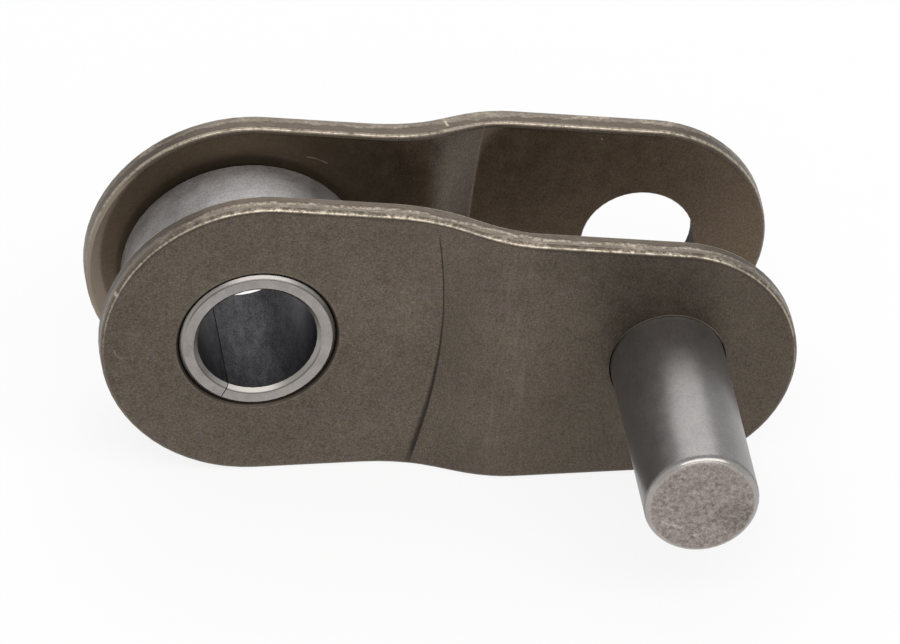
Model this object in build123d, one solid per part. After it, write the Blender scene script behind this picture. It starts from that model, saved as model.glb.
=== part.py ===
from build123d import *
import os
from math import asin, atan2, cos, hypot, sin, sqrt, tan

# Offset link (half link) of a roller chain, in millimetres.
# The origin is the middle of the bush bore. +X runs along the pitch line to the pin hole,
# +Y from the front plate to the rear plate, +Z is up.

# Plates
pitch = 12.7
inside_width = 3.5              # between the plates at the bush
plate_thickness = 0.8
joggle = 1.15                   # how far each plate steps out at the pin end
bush_end_radius = 4.95
pin_end_radius = 4.14
end_inset = 0.067               # of each round end's centre, inside its hole's centre

# Bends of the plates. Seen from the side each crease is an arc, with its middle on the pitch line.
# The creases are sharp in the middle and fade into soft bends at the plate's edges.
outer_crease_place = 5.74       # on the outer face, at the foot of the step
outer_crease_radius = 18.0      # bulges towards the pin
inner_crease_place = 7.24       # on the inner face, at the top of the step
inner_crease_radius = 60.0      # bulges towards the bush
crease_flare = 0.25             # how far both turn away from the step at the plate's edges
bend_radius_middle = 1.8        # on the rounded side of each bend
bend_radius_edge = 6.0
crease_radius_middle = 0.12     # on the creased side
crease_radius_edge = 6.0
fade_power = 10                 # of the height, for how late the bends soften

# Tumbled edges of the plates
rim_chamfer = 0.11              # each rim is rounded off by three flats
rim_ridge_chamfer = 0.04
bush_hole_chamfer = 0.11
pin_hole_chamfer = 0.05

# Bush, rolled from strip
bush_wall = 0.56
bush_proud = 0.03               # how far it stands out of each plate
bush_rim_chamfer = 0.1
bush_bore_chamfer = 0.12
seam_width = 0.03
seam_angle = 246                # about the bore, from +X towards +Z

# Roller
roller_wall = 1.345
roller_bush_clearance = 0.05    # all round
roller_side_clearance = 0.12    # at each plate
roller_rim_chamfer = 0.22
roller_bore_chamfer = 0.1

# Connecting pin, pressed into the front plate
pin_diameter = 3.58
pin_bush_clearance = 0.08       # all round, in the next link's bush
pin_reach = 7.43                # beyond the front plate
pin_rim_radius = 0.28
pin_lead_narrowing = 0.03       # of the radius, through the front plate, at the end that goes in first
pin_lead_chamfer = 0.12

# Worked out from the sizes above
bush_bore = pin_diameter + 2 * pin_bush_clearance
bush_diameter = bush_bore + 2 * bush_wall
bush_length = inside_width + 2 * (plate_thickness + bush_proud)
roller_bore = bush_diameter + 2 * roller_bush_clearance
roller_diameter = roller_bore + 2 * roller_wall
roller_width = inside_width - 2 * roller_side_clearance
narrow_inner = inside_width / 2
narrow_outer = narrow_inner + plate_thickness
wide_inner = narrow_inner + joggle
wide_outer = narrow_outer + joggle

facing_least = 0.3              # a wall faces along Y less than this, a face of the plate more
same_size = 1e-6
standing = (Align.CENTER, Align.CENTER, Align.MIN)

# The plates are cut from a wider sheet, whose step is drawn through sections at even heights
sheet_margin = 0.4
sheet_height = bush_end_radius + sheet_margin
sheet_left = -bush_end_radius - sheet_margin
sheet_right = pitch + pin_end_radius + sheet_margin
step_start = 3.2
step_end = 9.3
section_spaces = 12
step_height = 4.6               # of the plate's edge at the step, above the pitch line


def sagitta(radius, height):
    return radius - sqrt(radius**2 - height**2)


# One face of the sheet at one height: a flat, a bend up, the slope, a bend back and a flat.
def face_line(height, foot, top, slope, bends, depth):
    reach = [radius * tan(slope / 2) for radius in bends]
    along, across = cos(slope), sin(slope)
    half_along, half_across = sin(slope / 2), 1 - cos(slope / 2)
    corners = [
        (step_start, depth),
        (foot - reach[0], depth),
        (foot + reach[0] * along, depth + reach[0] * across),
        (top - reach[1] * along, depth + joggle - reach[1] * across),
        (top + reach[1], depth + joggle),
        (step_end, depth + joggle),
    ]
    rising = (corners[1][0] + bends[0] * half_along, depth + bends[0] * half_across)
    levelling = (corners[4][0] - bends[1] * half_along, depth + joggle - bends[1] * half_across)
    points = [Vector(x, y, height) for x, y in corners]
    return [
        Edge.make_line(points[0], points[1]),
        Edge.make_three_point_arc(points[1], Vector(*rising, height), points[2]),
        Edge.make_line(points[2], points[3]),
        Edge.make_three_point_arc(points[3], Vector(*levelling, height), points[4]),
        Edge.make_line(points[4], points[5]),
    ]


# The sheet's section at a height above the pitch line. The slope keeps the sheet's thickness.
def sheet_section(height):
    fade = min(abs(height) / step_height, 1) ** fade_power
    foot = outer_crease_place - sagitta(outer_crease_radius, height) - crease_flare * fade
    top = inner_crease_place + sagitta(inner_crease_radius, height) + crease_flare * fade
    run = top - foot
    rise = joggle - plate_thickness
    slope = atan2(rise, run) + asin(plate_thickness / hypot(run, rise))
    bend = bend_radius_middle + (bend_radius_edge - bend_radius_middle) * fade
    crease = crease_radius_middle + (crease_radius_edge - crease_radius_middle) * fade
    step_length = joggle / tan(slope)
    outer = face_line(height, foot, foot + step_length, slope, (crease, bend), narrow_outer)
    inner = face_line(height, top - step_length, top, slope, (bend, crease), narrow_inner)
    right_end = Edge.make_line(outer[-1] @ 1, inner[-1] @ 1)
    left_end = Edge.make_line(inner[0] @ 0, outer[0] @ 0)
    return Wire(outer + [right_end] + inner + [left_end])


def flat_sheet(start, end, depth):
    middle = ((start + end) / 2, depth + plate_thickness / 2, 0)
    return Pos(middle) * Box(end - start, plate_thickness, 2 * sheet_height)


def stepped_sheet():
    spacing = 2 * sheet_height / section_spaces
    heights = [-sheet_height + spacing * row for row in range(section_spaces + 1)]
    step = Solid.make_loft([sheet_section(height) for height in heights])
    narrow = flat_sheet(sheet_left, step_start, narrow_inner)
    return narrow + step + flat_sheet(step_end, sheet_right, wide_inner)


# Two round ends joined by straight tangents, through more than the full depth of the step.
def blank():
    bush_centre, pin_centre = end_inset, pitch - end_inset
    lean = asin((bush_end_radius - pin_end_radius) / (pin_centre - bush_centre))
    bush_x, bush_z = bush_centre + bush_end_radius * sin(lean), bush_end_radius * cos(lean)
    pin_x, pin_z = pin_centre + pin_end_radius * sin(lean), pin_end_radius * cos(lean)
    with BuildSketch(Plane.XZ.offset(sheet_margin - narrow_inner)) as shape:
        with BuildLine():
            ThreePointArc((bush_x, -bush_z), (bush_centre - bush_end_radius, 0), (bush_x, bush_z))
            Line((bush_x, bush_z), (pin_x, pin_z))
            ThreePointArc((pin_x, pin_z), (pin_centre + pin_end_radius, 0), (pin_x, -pin_z))
            Line((pin_x, -pin_z), (bush_x, -bush_z))
        make_face()
    return extrude(shape.sketch, wide_outer - narrow_inner + 2 * sheet_margin, dir=(0, 1, 0))


# A cylinder along Y from one depth to another.
def bar(diameter, start, stop, place=0):
    upright = Cylinder(diameter / 2, stop - start, align=standing)
    return Pos(place, start, 0) * Rot(X=-90) * upright


def side_faces(body, sign):
    return body.faces().filter_by(lambda face: sign * face.normal_at(face.center()).Y > facing_least)


def wall_faces(body):
    return body.faces().filter_by(lambda face: abs(face.normal_at(face.center()).Y) < facing_least)


def shared_edges(faces, others):
    other_edges = others.edges()
    return faces.edges().filter_by(lambda edge: any(edge.is_same(other) for other in other_edges))


# One flat along the whole rim, then a narrow one along each of its two ridges.
def break_rim(body, sign):
    body = chamfer(shared_edges(side_faces(body, sign), wall_faces(body)), rim_chamfer)
    sides = side_faces(body, sign)
    walls = wall_faces(body)
    rim = sides.filter_by(lambda face: len(shared_edges(ShapeList([face]), walls)) > 0)
    flats = sides.filter_by(lambda face: len(shared_edges(ShapeList([face]), walls)) == 0)
    return chamfer(shared_edges(rim, walls) + shared_edges(rim, flats), rim_ridge_chamfer)


def hole_edges(body, diameter, place=0):
    circles = body.edges().filter_by(GeomType.CIRCLE)
    circles = circles.filter_by(lambda edge: edge.radius < diameter / 2 + same_size)
    return circles.filter_by(lambda edge: abs(edge.arc_center.X - place) < same_size)


def plate_with_bush_hole():
    body = (blank() & stepped_sheet()).solid()
    body = break_rim(break_rim(body, 1), -1)
    body -= bar(bush_diameter, narrow_inner, narrow_outer)
    return chamfer(hole_edges(body, bush_diameter), bush_hole_chamfer)


def with_pin_hole(plate, hole):
    return chamfer(hole_edges(plate - hole, pin_diameter, pitch), pin_hole_chamfer)


# A sleeve with a closed seam, seen as a slit from end to end.
def bush():
    half = bush_length / 2
    sleeve = bar(bush_diameter, -half, half)
    sleeve = chamfer(sleeve.edges(), bush_rim_chamfer)
    sleeve -= bar(bush_bore, -half, half)
    sleeve = chamfer(hole_edges(sleeve, bush_bore), bush_bore_chamfer)
    slit = Box(bush_diameter, 2 * bush_length, seam_width, align=(Align.MIN, Align.CENTER, Align.CENTER))
    return sleeve - Rot(Y=-seam_angle) * slit


def roller():
    half = roller_width / 2
    ring = bar(roller_diameter, -half, half)
    ring = chamfer(ring.edges().filter_by(GeomType.CIRCLE), roller_rim_chamfer)
    ring -= bar(roller_bore, -half, half)
    return chamfer(hole_edges(ring, roller_bore), roller_bore_chamfer)


# The stretch of the pin inside the front plate, whose hole has the same slight taper.
def pin_lead():
    radius = pin_diameter / 2
    upright = Cone(radius, radius - pin_lead_narrowing, plate_thickness, align=standing)
    return Pos(pitch, -wide_outer, 0) * Rot(X=-90) * upright


def connecting_pin():
    pin = bar(pin_diameter, -wide_outer - pin_reach, -wide_outer, pitch) + pin_lead()
    pin = fillet(pin.edges().filter_by(GeomType.CIRCLE).sort_by(Axis.Y)[0], pin_rim_radius)
    return chamfer(pin.edges().filter_by(GeomType.CIRCLE).sort_by(Axis.Y)[-1], pin_lead_chamfer)


plate = plate_with_bush_hole()
pieces = {
    "front_plate": with_pin_hole(mirror(plate, about=Plane.XZ), pin_lead()),
    "rear_plate": with_pin_hole(plate, bar(pin_diameter, wide_inner, wide_outer, pitch)),
    "bush": bush(),
    "roller": roller(),
    "connecting_pin": connecting_pin(),
}

os.makedirs("parts", exist_ok=True)
for name, shape in pieces.items():
    export_step(shape, f"parts/{name}.step")
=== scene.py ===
import math

import bpy
from mathutils import Matrix, Vector

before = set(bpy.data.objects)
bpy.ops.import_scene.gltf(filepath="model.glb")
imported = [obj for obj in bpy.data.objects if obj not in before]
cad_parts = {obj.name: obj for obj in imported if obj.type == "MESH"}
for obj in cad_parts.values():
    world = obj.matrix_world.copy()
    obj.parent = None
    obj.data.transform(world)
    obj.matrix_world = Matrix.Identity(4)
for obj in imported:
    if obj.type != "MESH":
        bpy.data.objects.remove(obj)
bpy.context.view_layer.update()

print("offset link: the frame is loaded")

perMetre = 1000.0                    # millimetres
plainWhite = (1.0, 1.0, 1.0, 1.0)


# millimetres turned into Blender's metres
def metres(values):
    return [value / perMetre for value in values]


# a colour as it reads in a picture, 0 to 255, turned into the linear values that Blender uses
def tone(red, green, blue):
    def linear(value):
        share = value / 255
        return share / 12.92 if share <= 0.04045 else ((share + 0.055) / 1.055) ** 2.4
    return (linear(red), linear(green), linear(blue), 1.0)


# one of a node's live sockets, by its number or its name
def chosen(sockets, key):
    live = [socket for socket in sockets if socket.enabled]
    return live[key] if isinstance(key, int) else next(s for s in live if s.name == key)


# One output socket of a node tree. Sums on it add Math nodes.
class Strand:
    def __init__(self, tree, socket=None):
        self.tree = tree
        self.socket = socket

    # any node: its type, its settings, and the values or links of its sockets by name or number
    def node(self, nodeType, settings=None, sockets=None, output=0):
        made = self.tree.nodes.new(nodeType)
        for name, value in (settings or {}).items():
            if name == "stops":
                self.setStops(made.color_ramp, value)
            else:
                setattr(made, name, value)
        for key, value in (sockets or {}).items():
            target = chosen(made.inputs, key)
            if isinstance(value, Strand):
                self.tree.links.new(value.socket, target)
            else:
                target.default_value = value
        return Strand(self.tree, chosen(made.outputs, output))

    def setStops(self, ramp, stops):
        while len(ramp.elements) < len(stops):
            ramp.elements.new(1.0)
        for element, (place, colour) in zip(ramp.elements, stops):
            element.position = place
            element.color = colour

    def sum(self, operation, *terms):
        return self.node("ShaderNodeMath", {"operation": operation}, dict(enumerate(terms)))

    def __add__(self, other): return self.sum("ADD", self, other)
    def __radd__(self, other): return self.sum("ADD", other, self)
    def __sub__(self, other): return self.sum("SUBTRACT", self, other)
    def __rsub__(self, other): return self.sum("SUBTRACT", other, self)
    def __mul__(self, other): return self.sum("MULTIPLY", self, other)
    def __rmul__(self, other): return self.sum("MULTIPLY", other, self)
    def __truediv__(self, other): return self.sum("DIVIDE", self, other)
    def __rtruediv__(self, other): return self.sum("DIVIDE", other, self)
    def __abs__(self): return self.sum("ABSOLUTE", self)
    def __pow__(self, other): return self.sum("POWER", self, other)
    def __lt__(self, other): return self.sum("LESS_THAN", self, other)
    def __gt__(self, other): return self.sum("GREATER_THAN", self, other)

    # 0 before the first value, 1 after the second, smooth between; the first may be the greater
    def fade(self, start, end):
        settings = {"interpolation_type": "SMOOTHSTEP"}
        sockets = {"Value": self, "From Min": start, "From Max": end}
        return self.node("ShaderNodeMapRange", settings, sockets)

    # 1 at the middle, 0 beyond the half width
    def band(self, middle, halfWidth, soft=0.5):
        return abs(self - middle).fade(halfWidth, halfWidth * (1 - soft))


def larger(one, other):
    return one.sum("MAXIMUM", one, other)


def smaller(one, other):
    return one.sum("MINIMUM", one, other)


def length(across, up):
    return (across * across + up * up) ** 0.5


# a colour laid over another where the mask is 1
def lay(under, colour, mask):
    sockets = {"Factor": mask, "A": under, "B": colour}
    return mask.node("ShaderNodeMix", {"data_type": "RGBA"}, sockets)


# a colour picked along a row of (place, tone) stops
def pick(strand, stops):
    stops = [(place, tone(*colour)) for place, colour in stops]
    return strand.node("ShaderNodeValToRGB", {"stops": stops}, {0: strand})


# noise in millimetres of the object, stretched by the three spacings
def grain(tree, place, spacing, detail, rough):
    stretched = tree.node(
        "ShaderNodeVectorMath", {"operation": "MULTIPLY"},
        {0: place, 1: tuple(1 / value for value in spacing)},
    )
    sockets = {"Vector": stretched, "Scale": 1.0, "Detail": detail, "Roughness": rough}
    return tree.node("ShaderNodeTexNoise", None, sockets, "Fac")


# all the grains of a look, by name
def grainsOf(tree, place, look):
    return {name: grain(tree, place, *values) for name, values in look["grains"].items()}


# grains added up, each by its weight
def weighed(grains, weights):
    first, *others = (grains[name] * weight for name, weight in weights.items())
    return sum(others, first)


# a short straight mark on the side of the link, from one (x, z) to another
def markMask(x, z, start, end, width, core=0.3):
    runX, runZ = end[0] - start[0], end[1] - start[1]
    fromX, fromZ = x - start[0], z - start[1]
    share = (fromX * runX + fromZ * runZ) / (runX**2 + runZ**2)
    share = smaller(larger(share, 0.0), 1.0)
    away = length(fromX - share * runX, fromZ - share * runZ)
    return away.fade(width, width * core)


# A new material with a Principled shader, and its place on the object in millimetres.
def newSteel(name, look):
    material = bpy.data.materials.new(name)
    material.use_nodes = True
    tree = Strand(material.node_tree)
    shader = material.node_tree.nodes["Principled BSDF"]
    shader.inputs["Metallic"].default_value = look["metallic"]
    inMetres = tree.node("ShaderNodeTexCoord", None, None, "Object")
    sockets = {"Vector": inMetres, "Scale": perMetre}
    place = tree.node("ShaderNodeVectorMath", {"operation": "SCALE"}, sockets)
    return material, tree, shader, place


def axesOf(tree, vector):
    return [tree.node("ShaderNodeSeparateXYZ", None, {0: vector}, axis) for axis in "XYZ"]


# 1 where the surface faces the rear, -1 where it faces the front
def facingRear(tree):
    facing = tree.node("ShaderNodeTexCoord", None, None, "Normal")
    return tree.node("ShaderNodeSeparateXYZ", None, {0: facing}, "Y")


# a roughness that swings evenly about the look's own
def roughFrom(look, noise):
    swing = look["roughnessSwing"]
    return noise * swing + look["roughness"] - swing / 2


# what varies over a steel: its colour, its roughness and its relief
def dress(tree, shader, look, colour, rough, height):
    sockets = {"Height": height, "Distance": look["bumpDepth"], "Strength": look["bumpStrength"]}
    normal = tree.node("ShaderNodeBump", None, sockets)
    for name, strand in (("Base Color", colour), ("Roughness", rough), ("Normal", normal)):
        tree.tree.links.new(strand.socket, shader.inputs[name])


# the sizes that the marks and masks follow, in millimetres, as the frame has them
link = {
    "pitch": 12.7,
    "bushEnd": 4.95,
    "pinEnd": 4.14,
    "endInset": 0.067,               # of the round ends' centres, inside the holes' centres
    "narrowInner": 1.75,
    "thickness": 0.8,
    "joggle": 1.15,
    "bushRadius": 2.43,
    "boreRadius": 1.87,
    "pinRadius": 1.79,
    "outerCrease": (5.74, 18.0),     # its place on the pitch line, and the radius of its arc
    "innerCrease": (7.24, 60.0),
    "stepFrom": 3.7,                 # the step at the plate's edge
    "stepTo": 8.9,
}


# How far outside the plate's outline a point is: two round ends joined by tangents.
def outlineDistance(x, z):
    reach = link["pitch"] - 2 * link["endInset"]
    slope = (link["bushEnd"] - link["pinEnd"]) / reach
    level = math.sqrt(1 - slope**2)
    across = x - link["endInset"]
    height = abs(z)
    along = across * level - height * slope
    atBush = along < 0.0
    atPin = along > level * reach
    bushSide = length(across, z) - link["bushEnd"]
    pinSide = length(across - reach, z) - link["pinEnd"]
    middle = height * level + across * slope - link["bushEnd"]
    return atBush * bushSide + atPin * pinSide + (1 - atBush) * (1 - atPin) * middle


# The plates: dark heat-treated steel, tumbled, with sheared edges and worn rims, and with painted
# light and shade on their faces, creases and rims
plateLook = {
    "faceDark": (66, 58, 50),
    "face": (93, 85, 73),
    "faceLight": (126, 117, 102),
    "mauveTint": (108, 92, 94),
    "insideTint": (102, 80, 54),     # the inner faces are browner
    "wallBack": (90, 80, 70),
    "wallFront": (117, 107, 96),
    # a light tone for real wear, also used for painted highlights on the rims and about the pin
    "wornRimAndHighlight": (186, 175, 158),
    # a dark tone for real nicks and tears, also used for painted shade
    "nickAndPaintedShade": (58, 50, 43),
    # the dark tone of painted shade, also used for the hairline scratches
    "creaseDark": (34, 29, 25),
    "creaseLight": (118, 108, 96),
    "holeShade": (28, 24, 21),
    "rubbedEnd": (150, 138, 124),    # painted light on the inner face beside the round end, at the bush
    "roughness": 0.42,
    "roughnessSwing": 0.12,
    "polish": 0.12,                  # how much smoother the rims and marks are
    "holeRoughness": 0.35,           # how much rougher the open hole's wall is
    "metallic": 0.85,
    "bumpDepth": 0.000012,           # metres
    "bumpStrength": 0.7,
    "relief": {"blotches": 0.4, "speckle": 0.6},
    "wallRelief": 1.5,
    # each grain's spacing in millimetres along x, y and z, its detail and its roughness
    "grains": {
        "clouds": ((3.2, 3.2, 3.2), 3.0, 0.6),
        "blotches": ((0.45, 0.45, 0.45), 4.0, 0.65),
        "speckle": ((0.055, 0.055, 0.055), 2.0, 0.7),
        "tints": ((0.12, 0.12, 0.12), 3.0, 0.6),
        "bendStreaks": ((0.26, 4.0, 2.2), 5.0, 0.65),
        "wallStreaks": ((2.2, 0.09, 2.2), 3.0, 0.6),
        "nicks": ((0.24, 0.10, 0.24), 3.0, 0.65),
        "patches": ((0.8, 0.4, 0.8), 4.0, 0.65),
        "broken": ((0.50, 0.50, 0.50), 5.0, 0.7),
        "fine": ((0.12, 0.12, 0.12), 3.0, 0.65),
        "wobble": ((0.8, 4.0, 0.8), 3.0, 0.6),
        "jagged": ((0.22, 4.0, 0.22), 3.0, 0.65),
    },
    "shade": {"clouds": 0.30, "blotches": 0.30, "speckle": 0.90},
    "shadeShift": 0.25,
    # how strongly each finish is laid over those before it
    "shares": {
        "mauve": 0.50,
        "pinward": 0.30,
        "besideBush": 0.30,
        "insideTint": 0.34,
        "bendStreaks": 0.42,
        "wallPatches": 0.50,
        "wallLine": 0.55,
        "tear": 0.6,
        "tick": 0.7,
        "wallNicks": 0.5,
        "chips": 0.65,
        "rounding": 0.45,
        "insideLine": 0.3,
        "rubbedEnd": 0.85,
        "rollerShadow": 0.32,
        "rollerMark": 0.28,
        "creaseDark": 0.85,
        "creaseLight": 0.6,
        "bushGap": 0.8,
        "bushOil": 0.92,
        "bushRubbed": 0.3,
        "holeWall": 0.8,
        "holeRim": 0.6,
        "scratches": 0.3,            # against the dent and the inner scratches
        "marks": 0.7,
        "hairlines": 0.22,
    },
    "pinwardFade": (5.5, 12.5),      # painted shade darkens the outer faces along x, later above the pitch line
    "pinwardLean": 0.55,
    "besideBushFade": (5.0, 3.5),    # painted light lightens the inner faces towards the bush
    "bend": (7.7, 1.2, 0.8),         # the streaked bend's middle, half width and softness
    "zoneEdge": (0.48, 0.62),        # between the wall's zones, as a share of the thickness
    "wobble": 0.36,                  # of that edge, also in shares of the thickness
    "jagged": 0.24,
    "tickPlace": 6.22,               # a nick across the top edge of the rear plate
    "tickWidth": 0.060,
    "rollerShadow": (4.02, 3.84),    # from the bore's middle, on the inner face
    "rollerMark": 4.03,              # radius of the faint painted reflection of the roller on the inner face beside it
    "dent": ((-4.70, 1.80), (-4.56, 1.66), 0.10),
    "scratches": [
        # from one (x, z) to another, and half its width
        ((-4.44, -0.42), (-4.36, -0.62), 0.03),
        ((-4.36, -0.62), (-4.18, -0.72), 0.03),
    ],
    "insideScratches": [
        ((1.71, 3.91), (1.98, 3.86), 0.03),
        ((1.98, 3.86), (2.20, 3.76), 0.015),
        ((2.20, 3.76), (2.36, 3.69), 0.03),
        ((11.15, 3.87), (11.17, 3.85), 0.04),
    ],
    "hairlines": [
        ((9.35, 1.35), (9.75, 0.95), 0.035),
        ((9.75, 0.95), (10.45, 0.72), 0.035),
    ],
}


def plateSteel():
    look = plateLook
    share = look["shares"]
    material, tree, shader, place = newSteel("darkPlateSteel", look)
    grains = grainsOf(tree, place, look)
    blotches, patches, nicks = grains["blotches"], grains["patches"], grains["nicks"]
    broken, fine = grains["broken"], grains["fine"]
    x, y, z = axesOf(tree, place)
    rearward = facingRear(tree)
    upright = abs(rearward)          # 1 on the flats, 0 on the walls
    outside = (y * rearward).fade(0.0, 0.6)
    inside = 1 - outside
    onFront, onRear = y < 0.0, y > 0.0
    above = z > 0.0
    edge = outlineDistance(x, z)

    def coat(under, colourName, mask):
        return lay(under, tone(*look[colourName]), mask)

    # the flats: soft clouds, blotches of half a millimetre or so, and a fine grain
    shade = weighed(grains, look["shade"]) - look["shadeShift"]
    stops = [(0.22, look["faceDark"]), (0.50, look["face"]), (0.80, look["faceLight"])]
    colour = pick(shade, stops)
    colour = coat(colour, "mauveTint", grains["tints"].fade(0.44, 0.66) * share["mauve"])
    # painted shade, darker towards the pin's end of the outer faces
    pinward = (x - z * look["pinwardLean"]).fade(*look["pinwardFade"]) * outside
    colour = coat(colour, "nickAndPaintedShade", pinward * share["pinward"])
    # painted light on the inner faces towards the bush
    besideBush = x.fade(*look["besideBushFade"]) * inside
    colour = coat(colour, "faceLight", besideBush * share["besideBush"])
    colour = coat(colour, "insideTint", inside * upright.fade(0.90, 0.98) * share["insideTint"])

    # light streaks on the bend of the step: rubbed marks, and a painted highlight where the bend
    # turns to the light
    bent = x.band(*look["bend"]) * outside * upright.fade(0.6, 0.9)
    streaksAndBendHighlight = grains["bendStreaks"].fade(0.48, 0.72) * bent
    colour = coat(colour, "faceLight", streaksAndBendHighlight * share["bendStreaks"])

    # how far through the plate a point of the sheared wall is, from 0 at the inner face to 1
    stepped = x.fade(link["stepFrom"], link["stepTo"]) * link["joggle"]
    through = (abs(y) - stepped - link["narrowInner"]) / link["thickness"]
    jagged = (grains["jagged"] - 0.5) * look["jagged"]
    torn = through + (grains["wobble"] - 0.5) * look["wobble"] + jagged

    # the wall in its two zones, with streaks that run along it and worn patches
    frontZone = torn.fade(*look["zoneEdge"])
    wallTone = frontZone * grains["wallStreaks"].fade(0.2, 0.6)
    wall = coat(tone(*look["wallBack"]), "wallFront", wallTone)
    upperWall = z.fade(1.0, 3.5) * 0.75 + 0.25
    wallPatches = patches.fade(0.48, 0.68) * fine.fade(0.34, 0.60) * frontZone * upperWall
    wall = coat(wall, "wornRimAndHighlight", wallPatches * share["wallPatches"])

    # a torn line along the middle of the wall, most of it on the front plate
    tornPart = (x.fade(-3.5, 0.5) * onFront * 0.7 + 0.3) * upperWall
    middleLine = torn.band(0.58, 0.13, 0.8) * fine.fade(0.38, 0.62)
    wall = coat(wall, "wornRimAndHighlight", middleLine * tornPart * share["wallLine"])
    tear = torn.band(0.45, 0.05, 0.7) * broken.fade(0.38, 0.58)
    wall = coat(wall, "nickAndPaintedShade", tear * tornPart * share["tear"])
    tick = (x + through * 0.16 + jagged * 0.9).band(look["tickPlace"], look["tickWidth"])
    tick = tick * through.band(0.52, 0.26, 0.5) * onRear * above
    wall = coat(wall, "wornRimAndHighlight", tick * fine.fade(0.25, 0.5) * share["tick"])
    wall = coat(wall, "nickAndPaintedShade", nicks.fade(0.56, 0.72) * share["wallNicks"])
    wallMask = upright.fade(0.5, 0.3) * edge.fade(-0.10, -0.06)
    colour = lay(colour, wall, wallMask)

    # the rims along the outline: worn chips, painted shade on the rounding, and a thin broken line
    # on it, partly worn and partly a painted highlight, strongest along the top
    offWall = upright.fade(0.2, 0.3)
    chips = fine.fade(0.38, 0.62) * patches.fade(0.36, 0.60) * edge.fade(-0.095, -0.065)
    colour = coat(colour, "wornRimAndHighlight", chips * offWall * tornPart * share["chips"])
    top = z.fade(1.0, 3.2)
    # painted shade on the rounding, strongest along the top
    rounding = larger(edge.fade(-0.10, -0.13) * outside, edge.fade(-0.055, -0.09) * inside)
    rounding = rounding * edge.fade(-0.17, -0.15) * (top * 0.85 + 0.15)
    colour = coat(colour, "nickAndPaintedShade", rounding * share["rounding"])
    # the broken rim line: real wear, with a painted highlight strongest along the top
    line = larger(edge.band(-0.083, 0.032) * outside, edge.band(-0.026, 0.030) * inside)
    upperRim = z.fade(-1.5, 3.0) * 0.8 + 0.10
    rimMask = line * offWall * broken.fade(0.28, 0.50)
    rimMask = rimMask * (fine.fade(0.34, 0.58) * 0.6 + 0.4) * upperRim
    colour = coat(colour, "wornRimAndHighlight", rimMask)
    # a thin line of painted shade just inside the rim, along the top
    insideLine = edge.band(-0.18, 0.045) * upright.fade(0.96, 0.99) * top
    colour = coat(colour, "nickAndPaintedShade", insideLine * broken.fade(0.70, 0.40) * share["insideLine"])

    # painted light falling on the rear plate's inner face along the round end that the roller
    # stands off from
    fromEnd = edge + 0.45 - z * 0.09
    rubbedEnd = fromEnd.fade(-0.07, 0.07) * z.fade(3.5, 2.5) * x.fade(-2.2, -3.1)
    rubbedEnd = rubbedEnd * inside * onRear * upright.fade(0.3, 0.6) * (blotches * 0.5 + 0.6)
    colour = coat(colour, "rubbedEnd", rubbedEnd * share["rubbedEnd"])

    # a painted shadow ring and a faint painted reflection of the roller beside it
    fromBore = length(x, z)
    besideRoller = inside * onRear * upright.fade(0.8, 0.95)
    rollerShadowRing = fromBore.fade(*look["rollerShadow"]) * besideRoller
    colour = coat(colour, "creaseDark", rollerShadowRing * share["rollerShadow"])
    rollerReflectionRing = fromBore.band(look["rollerMark"], 0.08, 0.9) * x.band(0.85, 1.1, 0.7) * above
    colour = coat(colour, "faceLight", rollerReflectionRing * besideRoller * share["rollerMark"])

    # painted shade in the crease at the foot of the step, narrow above and wider below
    creasePlace, creaseRadius = link["outerCrease"]
    pastCrease = length(x - (creasePlace - creaseRadius), z) - creaseRadius
    creaseWidth = z.fade(1.5, -3.5) * 0.17 + 0.045
    creaseDark = (pastCrease / creaseWidth).fade(-1.0, -0.2) * pastCrease.fade(0.04, -0.01)
    creaseDark = creaseDark * outside * (1 - wallMask) * z.fade(-5.0, -3.9) * z.fade(4.3, 3.6)
    colour = coat(colour, "creaseDark", creaseDark * share["creaseDark"])

    # a painted highlight along the top of the step on the inner face
    topPlace, topRadius = link["innerCrease"]
    pastTop = length(x - (topPlace + topRadius), z) - topRadius
    creaseLight = pastTop.band(0.03, 0.03) * inside * upright.fade(0.7, 0.95)
    colour = coat(colour, "creaseLight", creaseLight * share["creaseLight"])

    # the broken edge of the bush's hole, darkened with painted shade in the gap about the bush,
    # with a thin rubbed line outside it
    fromBush = fromBore - link["bushRadius"]
    colour = coat(colour, "nickAndPaintedShade", fromBush.fade(0.125, 0.10) * share["bushGap"])
    colour = coat(colour, "holeShade", fromBush.fade(0.075, 0.05) * share["bushOil"])
    rubbed = fromBush.band(0.150, 0.035) * outside * nicks.fade(0.42, 0.6)
    colour = coat(colour, "faceLight", rubbed * share["bushRubbed"])

    # the wall and rim of the open pin hole, and a painted highlight on the upper part of the ring
    # about the pressed pin
    fromPin = length(x - link["pitch"], z) - link["pinRadius"]
    holeWall = fromPin.fade(0.06, 0.03) * upright.fade(0.5, 0.2)
    colour = coat(colour, "nickAndPaintedShade", holeWall * share["holeWall"])
    atRim = fromPin.fade(0.065, 0.05)
    holeRim = atRim * onRear * inside * upright.fade(0.4, 0.6)
    colour = coat(colour, "wallFront", holeRim * fine.fade(0.3, 0.6) * share["holeRim"])
    # a painted highlight on the upper part of the ring about the pressed pin
    colour = coat(colour, "wornRimAndHighlight", atRim * onFront * outside * z.fade(0.6, 1.4))

    # marks of handling
    marks = markMask(x, z, *look["dent"]) * outside * onFront
    for scratch in look["scratches"]:
        mark = markMask(x, z, *scratch) * outside * onFront
        marks = larger(marks, mark * share["scratches"])
    for scratch in look["insideScratches"]:
        marks = larger(marks, markMask(x, z, *scratch) * inside * onRear)
    colour = coat(colour, "wornRimAndHighlight", marks * share["marks"])
    for hairline in look["hairlines"]:
        mark = markMask(x, z, *hairline) * outside * onFront
        colour = coat(colour, "creaseDark", mark * share["hairlines"])

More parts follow.
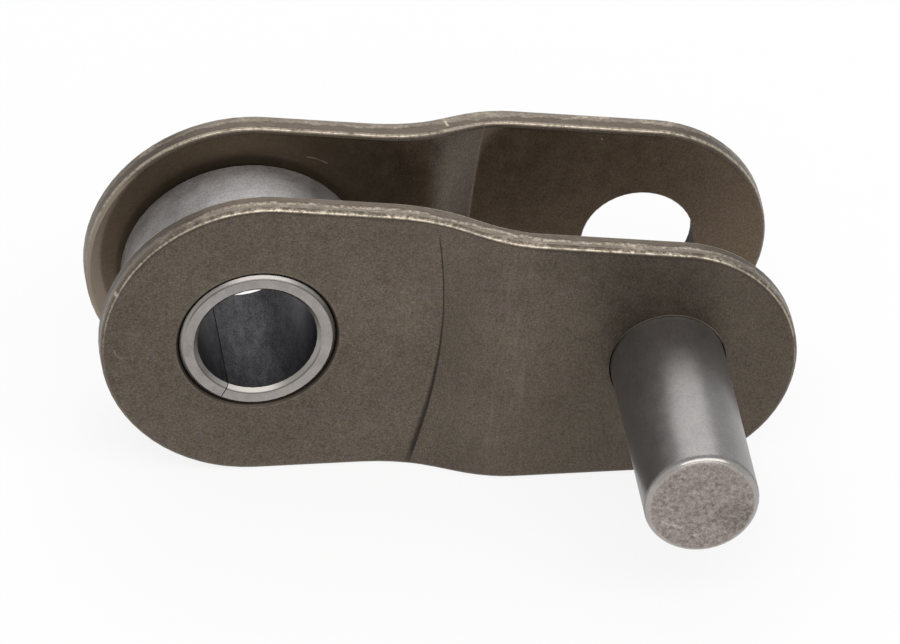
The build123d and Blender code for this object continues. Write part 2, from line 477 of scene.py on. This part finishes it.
    rough = roughFrom(look, blotches.fade(0.2, 0.8)) - larger(rimMask, marks) * look["polish"]
    rough = rough + holeWall * look["holeRoughness"]
    wallHeight = (grains["wallStreaks"] + nicks) * wallMask * look["wallRelief"]
    dress(tree, shader, look, colour, rough, weighed(grains, look["relief"]) + wallHeight)
    return material


# The bush: light grey steel rolled from strip, with polished edges and a dark bore
bushLook = {
    "face": (168, 162, 158),
    "faceDark": (136, 130, 126),
    "edge": (154, 150, 145),
    "lipShade": (84, 79, 75),         # painted shade along where the turned edges meet the face
    "bore": (34, 33, 36),
    "boreLight": (84, 83, 87),
    "roughness": 0.34,
    "roughnessSwing": 0.16,
    "boreRoughness": 0.14,           # how much rougher the bore is
    "metallic": 0.95,
    "bumpDepth": 0.000010,
    "bumpStrength": 0.5,
    "grains": {
        "blotches": ((0.5, 0.5, 0.5), 4.0, 0.6),
        "speckle": ((0.06, 0.06, 0.06), 2.0, 0.7),
        "smears": ((0.30, 0.9, 0.30), 5.0, 0.75),
    },
    "shade": {"blotches": 0.6, "speckle": 0.4},
    "boreShade": {"smears": 0.6, "speckle": 0.6},
    "boreShadeShift": 0.12,
    "shares": {"edge": 0.85, "lipShade": 0.75, "boreReflection": 0.26},
    "outerLip": 0.105,               # how far its line of painted shade is inside the outer wall
    "innerLip": 0.125,               # and this one outside the bore
    "lipWidth": 0.032,
}


def bushSteel():
    look = bushLook
    share = look["shares"]
    material, tree, shader, place = newSteel("rolledBushSteel", look)
    grains = grainsOf(tree, place, look)
    x, y, z = axesOf(tree, place)
    upright = abs(facingRear(tree))
    radius = length(x, z)
    boreRadius, lipWidth = link["boreRadius"], look["lipWidth"]
    inBore = radius.fade(boreRadius + 0.05, boreRadius + 0.02) * upright.fade(0.4, 0.2)
    shade = weighed(grains, look["shade"])
    colour = pick(shade, [(0.3, look["faceDark"]), (0.65, look["face"])])

    # the turned edges, and a line of painted shade inside each, along the top of the outer edge
    # and the bottom of the inner one
    rims = upright.band(0.7, 0.25, 0.4)
    colour = lay(colour, tone(*look["edge"]), rims * (1 - inBore) * share["edge"])
    outerLip = radius.band(link["bushRadius"] - look["outerLip"], lipWidth) * z.fade(0.0, 1.2)
    innerLip = radius.band(boreRadius + look["innerLip"], lipWidth) * z.fade(0.3, -0.9)
    lips = larger(outerLip, innerLip) * upright.fade(0.5, 0.8)
    colour = lay(colour, tone(*look["lipShade"]), lips * share["lipShade"])

    # the smeared bore, with a painted reflection lightening its right side near the front
    paintedBoreReflection = x.fade(1.35, 1.65) * y.fade(-2.3, -1.2) * z.fade(-1.3, -0.6) * share["boreReflection"]
    boreShade = weighed(grains, look["boreShade"]) + paintedBoreReflection - look["boreShadeShift"]
    boreColour = pick(boreShade, [(0.38, look["bore"]), (0.72, look["boreLight"])])
    colour = lay(colour, boreColour, inBore)

    rough = roughFrom(look, shade) + inBore * look["boreRoughness"]
    dress(tree, shader, look, colour, rough, shade + grains["smears"] * inBore)
    return material


# The roller: satin light grey steel with a fine grain and faint turned lines
rollerLook = {
    "sideDark": (128, 126, 125),
    "side": (182, 179, 178),
    "roughness": 0.50,
    "roughnessSwing": 0.14,
    "metallic": 0.92,
    "bumpDepth": 0.000008,
    "bumpStrength": 0.6,
    "grains": {
        "lines": ((5.0, 0.06, 5.0), 2.0, 0.6),
        "blotches": ((0.7, 0.6, 0.7), 4.0, 0.65),
        "speckle": ((0.06, 0.06, 0.06), 2.0, 0.7),
    },
    "shade": {"lines": 0.15, "blotches": 0.50, "speckle": 0.65},
    "shadeShift": 0.15,
    "relief": {"lines": 0.3, "blotches": 0.4, "speckle": 0.4},
}


def rollerSteel():
    look = rollerLook
    material, tree, shader, place = newSteel("satinRollerSteel", look)
    grains = grainsOf(tree, place, look)
    shade = weighed(grains, look["shade"]) - look["shadeShift"]
    colour = pick(shade, [(0.3, look["sideDark"]), (0.72, look["side"])])
    rough = roughFrom(look, grains["blotches"])
    dress(tree, shader, look, colour, rough, weighed(grains, look["relief"]))
    return material


# The pin: dark ground steel, polished at the rim, with a matte sawn end
pinLook = {
    "sideDark": (114, 112, 112),
    "side": (146, 143, 141),
    "endDark": (108, 99, 94),
    "end": (173, 163, 157),
    "endLight": (208, 200, 193),
    "rim": (196, 189, 183),
    "roughness": 0.35,
    "roughnessSwing": 0.10,
    "endRoughness": 0.22,            # how much rougher the end is
    "rimPolish": 0.17,               # how much smoother the rim is
    "metallic": 0.84,
    "bumpDepth": 0.000010,
    "bumpStrength": 0.6,
    "sideRelief": 0.4,
    "endRelief": 3.0,
    "grains": {
        "blotches": ((0.5, 0.8, 0.5), 4.0, 0.65),
        "speckle": ((0.06, 0.06, 0.06), 2.0, 0.7),
        "coarse": ((0.15, 0.15, 0.15), 5.0, 0.8),
    },
    "shade": {"blotches": 0.45, "speckle": 0.55},
    "endShade": {"coarse": 0.75, "speckle": 0.35},
    "endShadeShift": 0.05,
    "shares": {"patch": 0.07, "marks": 0.65, "rim": 0.4},
    "freeEnd": -8.0,                 # the free end lies beyond this along y
    "endPatch": ((13.75, -0.35), 0.75),      # a darker patch on the end face, and its radius
    "endMarks": [
        ((11.50, -0.60), (12.10, -0.80), 0.07),
        ((11.70, -0.82), (11.86, -0.58), 0.05),
        ((12.58, -1.10), (12.66, -1.08), 0.08),
    ],
}


def pinSteel():
    look = pinLook
    share = look["shares"]
    material, tree, shader, place = newSteel("groundPinSteel", look)
    grains = grainsOf(tree, place, look)
    speckle = grains["speckle"]
    x, y, z = axesOf(tree, place)
    upright = abs(facingRear(tree))
    atFreeEnd = y < look["freeEnd"]
    shade = weighed(grains, look["shade"])
    colour = pick(shade, [(0.3, look["sideDark"]), (0.7, look["side"])])

    # the sawn end, with a darker patch and a few light marks
    endMask = upright.fade(0.80, 0.96)
    (patchX, patchZ), patchRadius = look["endPatch"]
    patch = length(x - patchX, z - patchZ).fade(patchRadius, patchRadius * 0.4)
    endShade = weighed(grains, look["endShade"]) - patch * share["patch"] - look["endShadeShift"]
    endStops = [(0.34, look["endDark"]), (0.60, look["end"]), (0.80, look["endLight"])]
    endColour = pick(endShade, endStops)
    firstMark, *otherMarks = look["endMarks"]
    marks = markMask(x, z, *firstMark)
    for mark in otherMarks:
        marks = larger(marks, markMask(x, z, *mark))
    marks = marks * speckle.fade(0.3, 0.6) * atFreeEnd
    endColour = lay(endColour, tone(*look["endLight"]), marks * share["marks"])
    colour = lay(colour, endColour, endMask)

    # the polished rim of the free end, lightened with a modest painted highlight
    rims = upright.band(0.72, 0.28, 0.4) * atFreeEnd
    colour = lay(colour, tone(*look["rim"]), rims * share["rim"])

    rough = roughFrom(look, grains["blotches"]) + endMask * look["endRoughness"]
    rough = rough - rims * look["rimPolish"]
    height = speckle * look["sideRelief"] + grains["coarse"] * endMask * look["endRelief"]
    dress(tree, shader, look, colour, rough, height)
    return material


finishes = {
    "front_plate": plateSteel(),
    "bush": bushSteel(),
    "roller": rollerSteel(),
    "connecting_pin": pinSteel(),
}
finishes["rear_plate"] = finishes["front_plate"]
for nodeName, finish in finishes.items():
    piece = bpy.data.objects[nodeName]
    for slot in piece.material_slots:
        slot.material = finish
print("offset link: the steels are on their pieces")


# The studio: a pale floor under the edges that the link stands on, a white surround and soft lamps
studio = {
    "floorSize": 1.6,                # metres
    "floorTilt": 3.696,              # degrees, as the narrow end of the plates is the taller one
    "floorDrop": 4.965,              # millimetres under the bush
    "floorColour": (0.86, 0.86, 0.86, 1.0),
    "floorShown": 0.86,              # how much of the floor's look is plain white to the eye
    "worldLight": 0.75,
    "aim": (6.0, -2.0, 0.0),         # where the lamps point (mm)
    "lamps": [
        # name, where it stands (mm), its sides (mm), its power (W)
        ("keyLamp", (24.0, -110.0, 150.0), (240.0, 90.0), 0.15),
        ("backLamp", (14.0, 190.0, 150.0), (200.0, 170.0), 0.165),
    ],
}


def floorMaterial():
    material = bpy.data.materials.new("paleFloor")
    material.use_nodes = True
    material.node_tree.nodes.clear()
    tree = Strand(material.node_tree)
    camera, glossy, transmitted = (
        tree.node("ShaderNodeLightPath", None, None, f"Is {kind} Ray")
        for kind in ("Camera", "Glossy", "Transmission")
    )
    seen = larger(camera, larger(glossy, transmitted)) * studio["floorShown"]
    lit = tree.node("ShaderNodeBsdfDiffuse", None, {"Color": studio["floorColour"]})
    shown = tree.node("ShaderNodeEmission", None, {"Color": plainWhite, "Strength": 1.0})
    mixed = tree.node("ShaderNodeMixShader", None, {0: seen, 1: lit, 2: shown})
    output = material.node_tree.nodes.new("ShaderNodeOutputMaterial")
    material.node_tree.links.new(mixed.socket, output.inputs["Surface"])
    return material


def layFloor():
    half = studio["floorSize"] / 2
    mesh = bpy.data.meshes.new("floor")
    corners = [(-half, -half, 0), (half, -half, 0), (half, half, 0), (-half, half, 0)]
    mesh.from_pydata(corners, [], [(0, 1, 2, 3)])
    floor = bpy.data.objects.new("floor", mesh)
    bpy.context.scene.collection.objects.link(floor)
    floor.location = (0.0, 0.0, -studio["floorDrop"] / perMetre)
    floor.rotation_euler = (0.0, -math.radians(studio["floorTilt"]), 0.0)
    mesh.materials.append(floorMaterial())


def lightWorld():
    world = bpy.data.worlds.new("whiteStudio")
    bpy.context.scene.world = world
    world.use_nodes = True
    world.node_tree.nodes.clear()
    tree = Strand(world.node_tree)
    camera = tree.node("ShaderNodeLightPath", None, None, "Is Camera Ray")
    strength = camera * (1 - studio["worldLight"]) + studio["worldLight"]
    sockets = {"Color": plainWhite, "Strength": strength}
    background = tree.node("ShaderNodeBackground", None, sockets)
    output = world.node_tree.nodes.new("ShaderNodeOutputWorld")
    world.node_tree.links.new(background.socket, output.inputs["Surface"])


def hangLamps():
    target = Vector(metres(studio["aim"]))
    for name, place, sides, power in studio["lamps"]:
        light = bpy.data.lights.new(name, "AREA")
        light.shape = "RECTANGLE"
        light.size, light.size_y = metres(sides)
        light.energy = power
        lamp = bpy.data.objects.new(name, light)
        lamp.location = metres(place)
        lamp.rotation_euler = (target - lamp.location).to_track_quat("-Z", "Y").to_euler()
        lamp.visible_camera = False
        bpy.context.scene.collection.objects.link(lamp)


layFloor()
lightWorld()
hangLamps()
print("offset link: the studio is lit")


# The camera: worked out from the outlines in the picture, which is 900 by 644
view = {
    "place": (-61.108, -329.890, 235.840),   # millimetres
    "yaw": 11.577,                           # degrees, to the right of +Y
    "pitch": -35.132,
    "roll": 6.957,
    "focalPixels": 13211.96,
    "pictureWidth": 900,
    "filmWidth": 36.0,
    "clip": (0.01, 10.0),                    # metres
}


def setCamera():
    yaw, pitch, roll = (math.radians(view[name]) for name in ("yaw", "pitch", "roll"))
    forward = Vector((
        math.sin(yaw) * math.cos(pitch), math.cos(yaw) * math.cos(pitch), math.sin(pitch),
    ))
    levelRight = Vector((math.cos(yaw), -math.sin(yaw), 0.0))
    levelUp = levelRight.cross(forward)
    right = math.cos(roll) * levelRight + math.sin(roll) * levelUp
    up = math.cos(roll) * levelUp - math.sin(roll) * levelRight
    data = bpy.data.cameras.new("photoCamera")
    data.sensor_width = view["filmWidth"]
    data.sensor_fit = "HORIZONTAL"
    data.lens = view["focalPixels"] / view["pictureWidth"] * view["filmWidth"]
    data.clip_start, data.clip_end = view["clip"]
    camera = bpy.data.objects.new("photoCamera", data)
    turned = Matrix((right, up, -forward)).transposed().to_4x4()
    camera.matrix_world = Matrix.Translation(metres(view["place"])) @ turned
    bpy.context.scene.collection.objects.link(camera)
    bpy.context.scene.camera = camera


setCamera()
bpy.context.scene.view_settings.view_transform = "Standard"

print("offset link: the camera is set")
